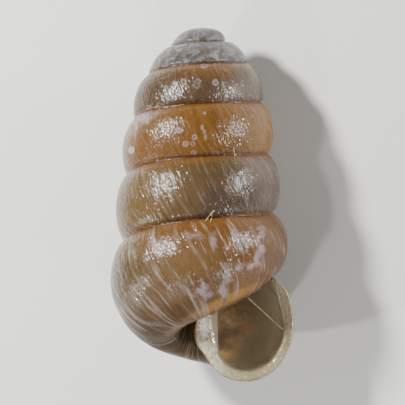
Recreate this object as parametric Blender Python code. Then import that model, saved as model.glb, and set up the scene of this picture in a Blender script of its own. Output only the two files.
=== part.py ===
# Shell of a tiny chrysalis snail, 3.5 mm tall, lying on its back as a loose shell does.
# One solid grown by one rule: whorl bands wound round an axis, a base with its umbilical pit,
# a flared lip and the hollow tube that runs up inside. Blender units are metres.

import math

import bmesh
import bpy
from mathutils import Matrix, Vector

MM = 0.001
HORN_COLOUR = (0.47, 0.27, 0.12, 1.0)
HORN_ROUGHNESS = 0.3

# Turns are counted back from the aperture: 0 is the aperture, APEX_TURN is the tip.
APEX_TURN = 6.7
LIP_TURN = -0.025
COLUMNS_PER_TURN = 40
LIP_COLUMNS = 1
BAND_ROWS = 7
BASE_ROWS = 11
PIT_ROWS = 3
TUBE_COLUMNS_PER_TURN = 16
TUBE_END_TURN = 4.75

# Sizes below are millimetres, in the shell's own frame: radius from the axis, depth below the tip.
WIDEST_RADIUS = 0.945
RADIUS_GROWTH_TURNS = 2.5
TIP_TAPER, TIP_TAPER_TURN = 0.045, 4.0
# The tip's own cap is rounder than the whorls under it, and its seam sits lower.
CAP_DROP, CAP_SWELL = 0.028, 0.12
CAP_START, CAP_TURNS = 5.1, 1.3
SUTURE_DEPTH = (3.195, -0.7284, 0.0076, 0.00454)
# The upper whorls lean over to the right: their seams tip by SPIRE_LEAN, reached in so many turns,
# and the tip stands SPIRE_SHIFT off the axis.
SPIRE_LEAN, SPIRE_LEAN_TURNS = 0.056, 1.5
SPIRE_SHIFT, SPIRE_SHIFT_DEPTH = 0.06, 1.3
LAST_WHORL_DROP = 0.69
SUTURE_SHARE_LOW, SUTURE_SHARE_GAIN = 0.895, 0.09
SUTURE_SHARE_TURNS = 3.5
LAST_SHARE_GAIN = 0.06
SWELL = 0.145
SHOULDER_SWELL, SHOULDER_WAIST, SHOULDER_TURNS = 0.075, 0.025, 0.45  # fuller just above the mouth
TIP_DEPTH = 0.02
WALL = 0.045
CALLUS = 0.012
CORNER_REACH = 2.0

# Offsets (radius, depth) from the lower edge of the whorl's band, round the base to the columella,
# for the outer skin and for the tube behind it, at turns 1, 0.5 and 0.
SKIN_KEYS = (
    ((-0.12, 0.10), (-0.25, 0.165), (-0.37, 0.205), (-0.47, 0.225), (-0.54, 0.225)),
    ((-0.10, 0.15), (-0.26, 0.27), (-0.42, 0.31), (-0.56, 0.26), (-0.64, 0.14)),
    ((-0.123, 0.196), (-0.323, 0.291), (-0.543, 0.251), (-0.678, 0.105), (-0.703, -0.126)),
)
TUBE_KEYS = (
    ((-0.12, 0.10), (-0.25, 0.165), (-0.38, 0.17), (-0.50, 0.08), (-0.58, -0.09)),
    ((-0.10, 0.15), (-0.26, 0.27), (-0.42, 0.29), (-0.56, 0.20), (-0.64, 0.02)),
    SKIN_KEYS[2],
)
COLUMELLA_KEY = (-0.605, 0.20)
PIT_KEYS = ((0.12, 2.66), (0.06, 2.59), (0.0, 2.57))
PIT_RIM_SAG = 0.16

# The lip stands in the plane y = LIP_PLANE. Each loop: share of the outward spread, share of the
# inward stand, millimetres forward.
LIP_PLANE = -0.12
LIP_LOOPS = (
    (0.45, 0.0, 0.02), (0.92, 0.0, 0.035), (1.0, 0.0, 0.055),
    (0.8, 0.0, 0.075), (0.25, 0.0, 0.078), (0.0, 1.0, 0.05),
)
# Stations round the lip, from the upper insertion to the foot of the columella: how far the rim
# spreads outward, and how far its inner edge stands into the mouth.
LIP_FLARE = (0.0, 0.035, 0.035, 0.045, 0.05, 0.05, 0.055, 0.07, 0.085, 0.16, 0.03)
LIP_INNER = (0.0, 0.065, 0.07, 0.05, 0.035, 0.035, 0.035, 0.035, 0.035, 0.035, 0.03)
CALLUS_STEP = 0.008
CORNER_ROWS = 0.14
LIP_GAP = 0.012

# The pose at rest: turned about the shell's own axis, then laid back past the horizontal until the
# middle whorls touch the floor. Skin within FOOT_REACH of it is levelled at half that height, and
# hollowed a hair along the middle, so that the shell lies still as the real one does on its ribs.
ROLL_DEG = 23.017
LAY_DEG = 97.632
FOOT_REACH = 0.032
FOOT_HOLLOW = 0.003
FOOT_MIDDLE, FOOT_HALF_WIDTH = -0.02, 0.12


def band_radius(turn):
    taper = 1 - TIP_TAPER * max(turn - TIP_TAPER_TURN, 0)
    return WIDEST_RADIUS * taper * (1 - math.exp(-(APEX_TURN - turn) / RADIUS_GROWTH_TURNS))


def shoulder(turn):
    """1 on the right of the last whorl, just above the mouth, fading to 0 either way round."""
    return max(1 - ((turn - 1) / SHOULDER_TURNS) ** 2, 0)


def suture(turn):
    """Radius and depth of the lower edge of the whorl's band."""
    if turn >= APEX_TURN:
        return Vector((0.0, TIP_DEPTH))
    if turn < 1:
        depth = sum(SUTURE_DEPTH) + LAST_WHORL_DROP * (1 - turn)
    else:
        depth = sum(factor * turn ** power for power, factor in enumerate(SUTURE_DEPTH))
    lean = SPIRE_LEAN * min(max((turn - 1) / SPIRE_LEAN_TURNS, 0), 1)
    depth += lean * band_radius(turn) * math.cos(2 * math.pi * turn)
    depth += CAP_DROP * math.sin(math.pi * min(max((turn - CAP_START) / CAP_TURNS, 0), 1))
    share = SUTURE_SHARE_LOW + SUTURE_SHARE_GAIN * min(max((turn - 1) / SUTURE_SHARE_TURNS, 0), 1)
    share += LAST_SHARE_GAIN * max(1 - turn, 0) - SHOULDER_WAIST * shoulder(turn)
    return Vector((band_radius(turn) * share, depth))


def keyed(keys, turn, scale):
    """The offsets at this turn, on the parabola through the three keyed ones."""
    if turn >= 1:
        return [Vector(p) * scale for p in keys[0]]
    weights = (
        turn * (turn - 0.5) / 0.5,
        turn * (1 - turn) / 0.25,
        (turn - 1) * (turn - 0.5) / 0.5,
    )
    return [
        sum((Vector(p) * w for p, w in zip(points, weights)), Vector((0.0, 0.0)))
        for points in zip(*keys)
    ]


def along(points, share):
    """Point at a share of the way along the smooth curve through the points."""
    spans = len(points) - 1
    at = min(max(share, 0.0), 1.0) * spans
    i = min(int(at), spans - 1)
    f = at - i
    p1, p2 = points[i], points[i + 1]
    p0 = points[i - 1] if i else p1 + (p1 - p2)
    p3 = points[i + 2] if i + 2 <= spans else p2 + (p2 - p1)
    return 0.5 * (
        2 * p1
        + (p2 - p0) * f
        + (2 * p0 - 5 * p1 + 4 * p2 - p3) * f * f
        + (3 * p1 - p0 - 3 * p2 + p3) * f * f * f
    )


def outline(turn, keys):
    """Control points of a whorl's section, from its upper suture round the base to the columella."""
    upper, lower = suture(turn + 1), suture(turn)
    chord = lower - upper
    cap = CAP_SWELL * min(max((turn - CAP_START) / 0.5, 0), 1)
    swell = (SWELL + SHOULDER_SWELL * shoulder(turn) + cap) * chord.length
    out = Vector((chord.y, -chord.x)).normalized() if chord.length else Vector((0.0, 0.0))
    scale = band_radius(max(turn, 1)) / band_radius(1)
    band = [upper] + [
        upper + chord * share + out * swell * height
        for share, height in ((0.22, 0.75), (0.5, 1.0), (0.78, 0.72))
    ]
    above = suture(turn + 1) + Vector(COLUMELLA_KEY) * band_radius(turn + 1) / band_radius(1)
    return band + [lower] + [lower + p for p in keyed(keys, turn, scale)] + [above]


def skin_outline(turn):
    """As outline, for the outside of the last whorl, where the columella's foot rounds the umbilical pit."""
    points = outline(turn, SKIN_KEYS)
    rim = suture(1) + Vector(COLUMELLA_KEY)
    points[-1] = rim + Vector((-0.01, PIT_RIM_SAG)) * 4 * turn * (1 - turn)
    return points


def section(points, row):
    """Radius and depth of a row: band rows first, then base rows."""
    if row <= BAND_ROWS:
        share = 4 * row / BAND_ROWS
    else:
        share = 4 + 6 * (row - BAND_ROWS) / BASE_ROWS
    return along(points, share / 10)


def wound(point, turn):
    """A point of a section carried round the axis, which leans over a little towards the tip."""
    angle = 2 * math.pi * turn
    shift = SPIRE_SHIFT * max(1 - point.y / SPIRE_SHIFT_DEPTH, 0) ** 1.5
    return Vector((point.x * math.cos(angle) + shift, point.x * math.sin(angle), -point.y))


COLUMELLA_ROW = BAND_ROWS + BASE_ROWS
POLE_ROW = COLUMELLA_ROW + PIT_ROWS
FIRST_BASE_COLUMN = round((APEX_TURN - LIP_TURN) * COLUMNS_PER_TURN) - COLUMNS_PER_TURN
LAST_COLUMN = FIRST_BASE_COLUMN + COLUMNS_PER_TURN


def start_turn(row):
    """Turn at which a base row leaves the aperture's plane, just short of one whole turn back."""
    turn = 1.0
    for _ in range(8):
        radius = section(skin_outline(turn), row).x
        turn = 1 + math.asin(max(LIP_PLANE / radius, -1)) / (2 * math.pi)
    return turn


def skin_point(row, column):
    """A vertex of the last whorl's skin, columns counted from the aperture's back edge."""
    straight = COLUMNS_PER_TURN - LIP_COLUMNS
    row_start = start_turn(min(max(row, BAND_ROWS), COLUMELLA_ROW))
    if column <= straight:
        turn = row_start * (1 - column / straight)
        if row <= COLUMELLA_ROW:
            return wound(section(skin_outline(turn), row), turn)
        return wound(Vector(PIT_KEYS[row - COLUMELLA_ROW - 1]), turn)
    share = (column - straight) / LIP_COLUMNS
    return skin_point(row, straight).lerp(lip_seat(row), share)


def lip_seat(row):
    """Where a row meets the plane of the lip."""
    if row in (0, COLUMELLA_ROW) or row > COLUMELLA_ROW:
        return skin_point(BAND_ROWS if row == 0 else row, 0)
    at = section(skin_outline(0), row)
    turned = math.sqrt(max(at.x ** 2 - LIP_PLANE ** 2, 0))
    share = min(1.0, 2 * row / BAND_ROWS, (COLUMELLA_ROW - row) / 3)
    drop = LAST_WHORL_DROP * -LIP_TURN
    return Vector((turned + (at.x - turned) * share, LIP_PLANE, -at.y - drop))


def ring_rows():
    """Rows round the mouth: down the lip to the columella, then back along the parietal wall."""
    lip = [(row, True) for row in range(COLUMELLA_ROW + 1)]
    return lip + [(row, False) for row in range(COLUMELLA_ROW - 1, BAND_ROWS, -1)]


def pulled_in(ring, depths):
    """The ring drawn towards its middle, so that it clears both its edges at each corner by the depth asked."""
    middle = sum(ring, Vector((0.0, 0.0))) / len(ring)
    drawn = []
    for i, point in enumerate(ring):
        to_middle = middle - point
        reach = to_middle.normalized()
        most = 0.0
        for other in (ring[i - 1], ring[(i + 1) % len(ring)]):
            edge = (other - point).normalized()
            lean = abs(edge.x * reach.y - edge.y * reach.x)
            most = max(most, depths[i] / max(lean, 0.25))
        drawn.append(point + reach * min(most, CORNER_REACH * depths[i], 0.4 * to_middle.length))
    return drawn


def tube_ring(turn):
    """Section of the hollow at this turn, as points round the axis."""
    own = outline(turn, TUBE_KEYS)
    roof = outline(turn + 1, TUBE_KEYS)[:5] + [
        suture(turn + 1) + Vector(p) * band_radius(turn + 1) / band_radius(1) for p in SKIN_KEYS[0]
    ]
    roof.append(own[-1])
    ring = [section(own if lip else roof, row) for row, lip in ring_rows()]
    depths = [WALL if lip else CALLUS for _, lip in ring_rows()]
    return [wound(p, turn) for p in pulled_in(ring, depths)]


def spread(row):
    """How far the lip spreads outward and stands inward at a row."""
    return along([Vector(pair) for pair in zip(LIP_FLARE, LIP_INNER)], row / COLUMELLA_ROW)


def base_depth(x, y):
    """Depth of the last whorl's base under a point in front of the axis; nothing hangs over it there."""
    turn = 1 + math.atan2(y, x) / (2 * math.pi)
    reach = math.hypot(x, y)
    points = skin_outline(turn)
    rows = [section(points, row) for row in range(BAND_ROWS, COLUMELLA_ROW + 1)]
    rows += [Vector(p) for p in PIT_KEYS]
    for outer, inner in zip(rows, rows[1:]):
        if inner.x <= reach <= outer.x:
            return outer.y + (inner.y - outer.y) * (outer.x - reach) / (outer.x - inner.x)
    return 0.0


def lip_loops():
    """Loops of points from the lip's seat, over its rim and into the throat."""
    rows = ring_rows()
    seat = [lip_seat(row) if lip else skin_point(row, 0) for row, lip in rows]
    flat = [Vector((p.x, -p.z)) for p in seat]
    loops = []
    for number, (share, inward, forward) in enumerate(LIP_LOOPS, 1):
        loop = []
        for i, (row, lip) in enumerate(rows):
            if not lip or row == 0:
                inner_row = max(row, BAND_ROWS + CORNER_ROWS * number)
                loop.append(skin_at_depth(inner_row, LIP_PLANE + CALLUS_STEP * number))
                continue
            ahead = flat[i + 1] - flat[i - 1]
            out = Vector((ahead.y, -ahead.x)).normalized()
            reach = spread(row)
            moved = flat[i] + out * (reach.x * share - reach.y * inward)
            front = LIP_PLANE - forward
            loop.append(Vector((moved.x, front, -max(moved.y, base_depth(moved.x, front) + LIP_GAP))))
        loops.append(loop)
    return loops


def skin_at_depth(row, y):
    """The point of a base row at the given y, behind the plane of the lip."""
    turn = 1.0
    for _ in range(8):
        radius = section(skin_outline(turn), row).x
        turn = 1 + math.asin(max(y / radius, -1)) / (2 * math.pi)
    return wound(section(skin_outline(turn), row), turn)


def shell_mesh():
    bm = bmesh.new()
    tip = bm.verts.new(wound(suture(APEX_TURN), 0))
    grid = []
    for column in range(LAST_COLUMN + 1):
        in_last = column - FIRST_BASE_COLUMN
        first = grid[column - COLUMNS_PER_TURN][BAND_ROWS] if column >= COLUMNS_PER_TURN else tip
        rows = [first]
        turn = LIP_TURN + (LAST_COLUMN - column) / COLUMNS_PER_TURN
        for row in range(1, BAND_ROWS + 1):
            if column == 0:
                rows.append(tip)
            elif in_last > 0:
                rows.append(bm.verts.new(skin_point(row, in_last)))
            else:
                rows.append(bm.verts.new(wound(section(outline(turn, SKIN_KEYS), row), turn)))
        grid.append(rows)
    pole = bm.verts.new((0.0, 0.0, -PIT_KEYS[-1][1]))
    for in_last in range(COLUMNS_PER_TURN + 1):
        rows = grid[FIRST_BASE_COLUMN + in_last]
        for row in range(BAND_ROWS + 1, POLE_ROW):
            if in_last == COLUMNS_PER_TURN and row >= COLUMELLA_ROW:
                rows.append(grid[FIRST_BASE_COLUMN][row])
            else:
                rows.append(bm.verts.new(skin_point(row, in_last)))
        rows.append(pole)
    for left, right in zip(grid, grid[1:]):
        for row in range(len(left) - 1 if len(left) == len(right) else BAND_ROWS):
            quad = []
            for v in (left[row], left[row + 1], right[row + 1], right[row]):
                if v not in quad:
                    quad.append(v)
            if len(quad) > 2:
                bm.faces.new(quad)
    rings = [[grid[LAST_COLUMN if lip else FIRST_BASE_COLUMN][row] for row, lip in ring_rows()]]
    for loop in lip_loops():
        rings.append([bm.verts.new(p) for p in loop])
    tube_turns = [i / TUBE_COLUMNS_PER_TURN for i in range(round(TUBE_END_TURN * TUBE_COLUMNS_PER_TURN))]
    for turn in tube_turns:
        rings.append([bm.verts.new(p) for p in tube_ring(turn)])
    for near, far in zip(rings, rings[1:]):
        for i in range(len(near)):
            j = (i + 1) % len(near)
            bm.faces.new((near[i], near[j], far[j], far[i]))
    end = bm.verts.new(sum((v.co for v in rings[-1]), Vector()) / len(rings[-1]))
    for i in range(len(rings[-1])):
        bm.faces.new((rings[-1][i], rings[-1][(i + 1) % len(rings[-1])], end))
    bmesh.ops.scale(bm, vec=(MM, MM, MM), verts=bm.verts)
    mesh = bpy.data.meshes.new("shell")
    bmesh.ops.recalc_face_normals(bm, faces=bm.faces)
    bm.to_mesh(mesh)
    bm.free()
    return mesh


def rest_pose(mesh):
    """Lays the shell on the floor, its box centred over the origin and its tip toward +Y."""
    laid = Matrix.Rotation(math.radians(-LAY_DEG), 4, "X") @ Matrix.Rotation(math.radians(ROLL_DEG), 4, "Z")
    points = [laid @ v.co for v in mesh.vertices]
    low = [min(p[i] for p in points) for i in range(3)]
    high = [max(p[i] for p in points) for i in range(3)]
    corner = Vector(((low[0] + high[0]) / 2, (low[1] + high[1]) / 2, low[2] + FOOT_REACH / 2 * MM))
    return Matrix.Translation(-corner) @ laid


def level_foot(mesh, pose):
    """Levels the skin that the shell lies on, in its pose at rest."""
    back = pose.inverted()
    for v in mesh.vertices:
        at = pose @ v.co
        if at.z < FOOT_REACH / 2 * MM:
            middle = abs(at.x / MM - FOOT_MIDDLE) < FOOT_HALF_WIDTH
            at.z = FOOT_HOLLOW * MM if middle else 0
            v.co = back @ at


def skin_material(colour, roughness):
    material = bpy.data.materials.new("shell")
    material.use_nodes = True
    surface = material.node_tree.nodes["Principled BSDF"]
    surface.inputs["Base Color"].default_value = colour
    surface.inputs["Roughness"].default_value = roughness
    surface.inputs["Metallic"].default_value = 0.0
    return material


def main():
    for old in list(bpy.data.objects):
        bpy.data.objects.remove(old)
    home = bpy.data.collections.new("land_snail_shell")
    bpy.context.scene.collection.children.link(home)
    shell = bpy.data.objects.new("shell", shell_mesh())
    home.objects.link(shell)
    shell.data.materials.append(skin_material(HORN_COLOUR, HORN_ROUGHNESS))
    shell.data.shade_smooth()
    pose = rest_pose(shell.data)
    level_foot(shell.data, pose)
    shell.matrix_world = pose


main()
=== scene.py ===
import math

import bmesh
import bpy
from mathutils import Matrix, Vector, noise
from mathutils.bvhtree import BVHTree


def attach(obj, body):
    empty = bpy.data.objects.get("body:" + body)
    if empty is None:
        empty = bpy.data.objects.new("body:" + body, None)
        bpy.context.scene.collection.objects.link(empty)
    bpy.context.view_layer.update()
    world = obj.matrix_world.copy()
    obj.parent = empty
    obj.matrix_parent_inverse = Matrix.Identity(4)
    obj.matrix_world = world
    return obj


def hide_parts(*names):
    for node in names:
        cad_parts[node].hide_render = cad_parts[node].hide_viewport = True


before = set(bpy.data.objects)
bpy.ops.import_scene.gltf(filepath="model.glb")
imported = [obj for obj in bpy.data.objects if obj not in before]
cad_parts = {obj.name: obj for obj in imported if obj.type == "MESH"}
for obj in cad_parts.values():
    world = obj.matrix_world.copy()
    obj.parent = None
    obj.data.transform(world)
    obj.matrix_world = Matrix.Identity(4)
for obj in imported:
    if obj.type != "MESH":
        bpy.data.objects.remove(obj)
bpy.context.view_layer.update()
print("frame loaded")

mm = 0.001
bandEnd = 0.4  # an outline's first four spans of ten are the whorl's band, the rest its base

# The shell's growth rule. Turns count back from the mouth, lengths are millimetres,
# and a point of a whorl's outline is (distance from the axis, depth below the tip).
growth = {
    "apexTurn": 6.7,
    "lipTurn": -0.025,
    "widestRadius": 0.945,
    "radiusTurns": 2.5,
    "tipTaper": (0.045, 4.0),
    "tipCap": {"drop": 0.028, "swell": 0.12, "start": 5.1, "turns": 1.3},
    "seamDepth": (3.195, -0.7284, 0.0076, 0.00454),
    "spireLean": (0.056, 1.5),
    "spireShift": (0.06, 1.3),
    "lastWhorlDrop": 0.69,
    "seamShare": (0.895, 0.09, 3.5),
    "lastShareGain": 0.06,
    "swell": 0.145,
    "shoulder": {"swell": 0.075, "waist": 0.025, "turns": 0.45},
    "tipDepth": 0.02,
    "columellaKey": (-0.605, 0.20),
    "pitKeys": ((0.12, 2.66), (0.06, 2.59), (0.0, 2.57)),
    "pitRimSag": 0.16,
    "skinKeys": (
        ((-0.12, 0.10), (-0.25, 0.165), (-0.37, 0.205), (-0.47, 0.225), (-0.54, 0.225)),
        ((-0.10, 0.15), (-0.26, 0.27), (-0.42, 0.31), (-0.56, 0.26), (-0.64, 0.14)),
        ((-0.123, 0.196), (-0.323, 0.291), (-0.543, 0.251), (-0.678, 0.105), (-0.703, -0.126)),
    ),
    "hollowKeys": (
        ((-0.12, 0.10), (-0.25, 0.165), (-0.38, 0.17), (-0.50, 0.08), (-0.58, -0.09)),
        ((-0.10, 0.15), (-0.26, 0.27), (-0.42, 0.29), (-0.56, 0.20), (-0.64, 0.02)),
        ((-0.123, 0.196), (-0.323, 0.291), (-0.543, 0.251), (-0.678, 0.105), (-0.703, -0.126)),
    ),
}

# How finely the skin is drawn, and its low relief in millimetres.
skinLook = {
    "columnsPerTurn": 480,
    "bandRows": 18,
    "baseRows": 30,
    "pitRows": 4,
    "streakLean": 0.058,
    "ribHeight": 0.0035,
    "ribsPerTurn": 80,
    "waveHeight": 0.008,
    "seamGroove": 0.014,
    "seamWidth": 0.03,
}

# The mouth: its plane, the wall, the lip's loops (share of the flare, inward, forward) and the throat.
mouth = {
    "plane": -0.12,
    "wall": 0.045,
    "callus": 0.012,
    "cornerReach": 2.0,
    "loops": (
        (0.0, 0.0, 0.0), (0.45, 0.0, 0.02), (0.92, 0.0, 0.035), (1.0, 0.0, 0.055),
        (0.8, 0.0, 0.075), (0.25, 0.0, 0.078), (0.0, 1.0, 0.05),
    ),
    "flare": (0.0, 0.035, 0.035, 0.045, 0.05, 0.05, 0.055, 0.07, 0.085, 0.16, 0.03),
    "inner": (0.0, 0.065, 0.07, 0.05, 0.035, 0.035, 0.035, 0.035, 0.035, 0.035, 0.03),
    "callusStep": 0.008,
    "cornerShare": 0.14 * 0.6 / 11,
    "gap": 0.012,
    "hollowEndTurn": 4.75,
    "hollowStations": 16,
}

lipEnd = len(mouth["loops"]) - 1  # the station where the lip's rim turns into the throat

# How the shell lies: turned on its axis, laid back, and how much of its foot is levelled, in millimetres.
pose = {"rollDeg": 23.017, "layDeg": 97.632, "footReach": 0.032}


def smoothStep(value, low, high):
    x = min(max((value - low) / (high - low), 0.0), 1.0)
    return x * x * (3 - 2 * x)


def bandRadius(turn):
    rate, start = growth["tipTaper"]
    grown = 1 - math.exp(-(growth["apexTurn"] - turn) / growth["radiusTurns"])
    return growth["widestRadius"] * (1 - rate * max(turn - start, 0)) * grown


def shoulder(turn):
    # 1 on the right of the last whorl, just above the mouth
    return max(1 - ((turn - 1) / growth["shoulder"]["turns"]) ** 2, 0)


def seamPoint(turn):
    if turn >= growth["apexTurn"]:
        return Vector((0.0, growth["tipDepth"]))
    if turn < 1:
        depth = sum(growth["seamDepth"]) + growth["lastWhorlDrop"] * (1 - turn)
    else:
        depth = sum(factor * turn ** power for power, factor in enumerate(growth["seamDepth"]))
    lean, turnsToLean = growth["spireLean"]
    leaning = lean * min(max((turn - 1) / turnsToLean, 0), 1)
    depth += leaning * bandRadius(turn) * math.cos(2 * math.pi * turn)
    cap = growth["tipCap"]
    depth += cap["drop"] * math.sin(math.pi * min(max((turn - cap["start"]) / cap["turns"], 0), 1))
    low, gain, turns = growth["seamShare"]
    share = low + gain * min(max((turn - 1) / turns, 0), 1) + growth["lastShareGain"] * max(1 - turn, 0)
    share -= growth["shoulder"]["waist"] * shoulder(turn)
    return Vector((bandRadius(turn) * share, depth))


def keyedOffsets(keys, turn, scale):
    # three keyed outlines, at the mouth, half a turn and a whole turn back, with a parabola through them
    if turn >= 1:
        return [Vector(p) * scale for p in keys[0]]
    weights = (turn * (turn - 0.5) / 0.5, turn * (1 - turn) / 0.25, (turn - 1) * (turn - 0.5) / 0.5)
    return [
        sum((Vector(p) * w for p, w in zip(points, weights)), Vector((0.0, 0.0)))
        for points in zip(*keys)
    ]


def curveAt(points, share):
    # a smooth curve through all the points
    spans = len(points) - 1
    at = min(max(share, 0.0), 1.0) * spans
    i = min(int(at), spans - 1)
    f = at - i
    p1, p2 = points[i], points[i + 1]
    p0 = points[i - 1] if i else p1 + (p1 - p2)
    p3 = points[i + 2] if i + 2 <= spans else p2 + (p2 - p1)
    return 0.5 * (
        2 * p1 + (p2 - p0) * f + (2 * p0 - 5 * p1 + 4 * p2 - p3) * f * f
        + (3 * p1 - p0 - 3 * p2 + p3) * f * f * f
    )


def whorlOutline(turn, keys):
    upper, lower = seamPoint(turn + 1), seamPoint(turn)
    chord = lower - upper
    cap = growth["tipCap"]["swell"] * min(max((turn - growth["tipCap"]["start"]) / 0.5, 0), 1)
    swell = (growth["swell"] + growth["shoulder"]["swell"] * shoulder(turn) + cap) * chord.length
    out = Vector((chord.y, -chord.x)).normalized() if chord.length else Vector((0.0, 0.0))
    scale = bandRadius(max(turn, 1)) / bandRadius(1)
    band = [upper] + [
        upper + chord * share + out * swell * height
        for share, height in ((0.22, 0.75), (0.5, 1.0), (0.78, 0.72))
    ]
    above = upper + Vector(growth["columellaKey"]) * bandRadius(turn + 1) / bandRadius(1)
    return band + [lower] + [lower + p for p in keyedOffsets(keys, turn, scale)] + [above]


def skinOutline(turn):
    points = whorlOutline(turn, growth["skinKeys"])
    if turn < 1:
        rim = seamPoint(1) + Vector(growth["columellaKey"])
        points[-1] = rim + Vector((-0.01, growth["pitRimSag"])) * 4 * turn * (1 - turn)
    return points


def windUp(point, turn):
    angle = 2 * math.pi * turn
    off, depth = growth["spireShift"]
    shift = off * max(1 - point.y / depth, 0) ** 1.5
    return Vector((point.x * math.cos(angle) + shift, point.x * math.sin(angle), -point.y))


def crowded(share):
    return 0.5 * share + 0.25 * (1 - math.cos(math.pi * share))  # rows draw together at both seams


def acrossOf(share):
    # 0 to 1 on the band, 1 to 2 on the base
    return share / bandEnd if share <= bandEnd else 1 + (share - bandEnd) / (1 - bandEnd)


def turnAtDepth(share, y):
    turn = 1.0
    for _ in range(8):
        radius = curveAt(skinOutline(min(turn, 0.99999)), share).x
        turn = 1 + math.asin(max(y / radius, -1)) / (2 * math.pi)
    return turn


startTurns = {}


def startTurn(share):
    key = round(max(share, bandEnd), 6)
    if key not in startTurns:
        startTurns[key] = turnAtDepth(key, mouth["plane"])
    return startTurns[key]


def ribs(turn, across):
    # low growth ribs, all parallel to the lip, crowding and fading from place to place
    line = turn - skinLook["streakLean"] * across ** 1.3
    beat = noise.noise(Vector((line * 9.0, 3.1, 0.0)))
    phase = line * skinLook["ribsPerTurn"] + 0.9 * beat
    sharp = (0.5 + 0.5 * math.cos(2 * math.pi * phase)) ** 1.6
    strength = 0.45 + 0.55 * smoothStep(noise.noise(Vector((line * 23.0, across * 1.5, 7.7))), -0.4, 0.5)
    return sharp * strength


def relief(turn, across):
    # outward lift of the skin; nothing at the seams, where two whorls share their points
    edge = smoothStep(across, 0.0, 0.10)
    if turn > startTurn(bandEnd):
        edge *= smoothStep(1 - across, 0.0, 0.10)
    size = bandRadius(turn) / growth["widestRadius"]
    swellNoise = noise.noise(Vector((turn * 7.0, across * 1.7, 1.3)))
    baseFold = 1 + 0.9 * smoothStep(across, 1.05, 1.5) * (1 - smoothStep(across, 1.85, 2.0))
    lift = skinLook["ribHeight"] * ribs(turn, across) * baseFold
    lift += skinLook["waveHeight"] * swellNoise * size
    ageing = 1 - 0.75 * smoothStep(turn, 4.0, 5.2)
    return lift * edge * ageing


def grooveAt(seamTurn):
    begun = smoothStep(seamTurn, 0.975, 1.005)
    return skinLook["seamGroove"] * begun * (1 - smoothStep(seamTurn, 6.0, 6.6))


def skinSpot(share, turn, fade=1.0):
    points = skinOutline(turn)
    at = curveAt(points, share)
    across = acrossOf(share)
    ahead = curveAt(points, min(share + 0.004, 1)) - curveAt(points, max(share - 0.004, 0))
    out = Vector((ahead.y, -ahead.x)).normalized() if ahead.length > 1e-9 else Vector((1.0, 0.0))
    at = at + out * relief(turn, across) * fade
    if across <= 1:
        width = skinLook["seamWidth"]
        at.x -= grooveAt(turn + 1) * math.exp(-((across / width) ** 2))
        at.x -= grooveAt(turn) * math.exp(-(((1 - across) / width) ** 2))
    return windUp(at, turn)


columnsPerTurn = skinLook["columnsPerTurn"]
lipColumns = columnsPerTurn // 40
straightColumns = columnsPerTurn - lipColumns
totalColumns = round((growth["apexTurn"] - growth["lipTurn"]) * columnsPerTurn)
bandShares = [bandEnd * crowded(i / skinLook["bandRows"]) for i in range(skinLook["bandRows"] + 1)]
baseShares = [bandEnd + (1 - bandEnd) * i / skinLook["baseRows"] for i in range(skinLook["baseRows"] + 1)]
pitCurve = [Vector(p) for p in growth["pitKeys"]]


def lipSeat(share):
    # where the skin meets the plane of the lip
    if share <= 0 or share >= 1:
        end = bandEnd if share <= 0 else 1.0
        return lastWhorlPoint(end, startTurn(end))
    at = curveAt(skinOutline(0.0), share)
    turned = math.sqrt(max(at.x ** 2 - mouth["plane"] ** 2, 0))  # where the whorl itself comes to the plane
    settled = min(1.0, share / 0.2, (1 - share) * 11 / (1 - bandEnd) / 3)
    drop = growth["lastWhorlDrop"] * -growth["lipTurn"]
    return Vector((turned + (at.x - turned) * settled, mouth["plane"], -at.y - drop))


def lastWhorlPoint(share, turn):
    start = startTurn(share)
    fade = smoothStep(turn, 0.0, 0.03)
    if share > bandEnd:
        fade *= smoothStep(start - turn, 0.0, 0.03)
    return skinSpot(share, turn, fade)


def bandPoint(column, share):
    inLast = column - (totalColumns - columnsPerTurn)
    if share <= 0 and inLast > 0:
        turnAbove = growth["lipTurn"] + (totalColumns - column + columnsPerTurn) / columnsPerTurn
        return skinSpot(bandEnd, turnAbove), turnAbove - 1
    if inLast <= 0:
        turn = growth["lipTurn"] + (totalColumns - column) / columnsPerTurn
        return skinSpot(share, turn), turn
    return lastPoint(inLast, share)


def lastPoint(inLast, share):
    start = startTurn(share)
    if inLast <= straightColumns:
        turn = start * (1 - inLast / straightColumns)
        return lastWhorlPoint(share, turn), turn
    part = (inLast - straightColumns) / lipColumns
    return lastWhorlPoint(share, 0.0).lerp(lipSeat(share), part), growth["lipTurn"] * part


def basePoint(inLast, row):
    if row <= skinLook["baseRows"]:
        if row == skinLook["baseRows"] and inLast == columnsPerTurn:
            inLast = 0
        at, turn = lastPoint(inLast, baseShares[row])
        return at, turn, acrossOf(baseShares[row])
    pitShare = (row - skinLook["baseRows"]) / skinLook["pitRows"]
    start = startTurn(1.0)
    turn = start * (1 - min(inLast / straightColumns, 1.0))
    if inLast == columnsPerTurn:
        turn = start
    rim = curveAt(skinOutline(turn), 1.0)
    at = curveAt([rim] + pitCurve, pitShare)
    at.x = max(at.x, 0.0)
    return windUp(at, turn), turn, 2 + pitShare


def gridOf(bm, columns, rows):
    # a flat grid whose points are handed back as columns of rows
    made = bmesh.ops.create_grid(bm, x_segments=columns, y_segments=rows, size=1.0)["verts"]
    sheet = [[None] * (rows + 1) for _ in range(columns + 1)]
    for vert in made:
        sheet[round((vert.co.x + 1) / 2 * columns)][round((vert.co.y + 1) / 2 * rows)] = vert
    return sheet


def ringShares():
    lip = [(share, True) for share in bandShares + baseShares[1:]]
    return lip + [(share, False) for share in reversed(baseShares[1:-1])]


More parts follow.
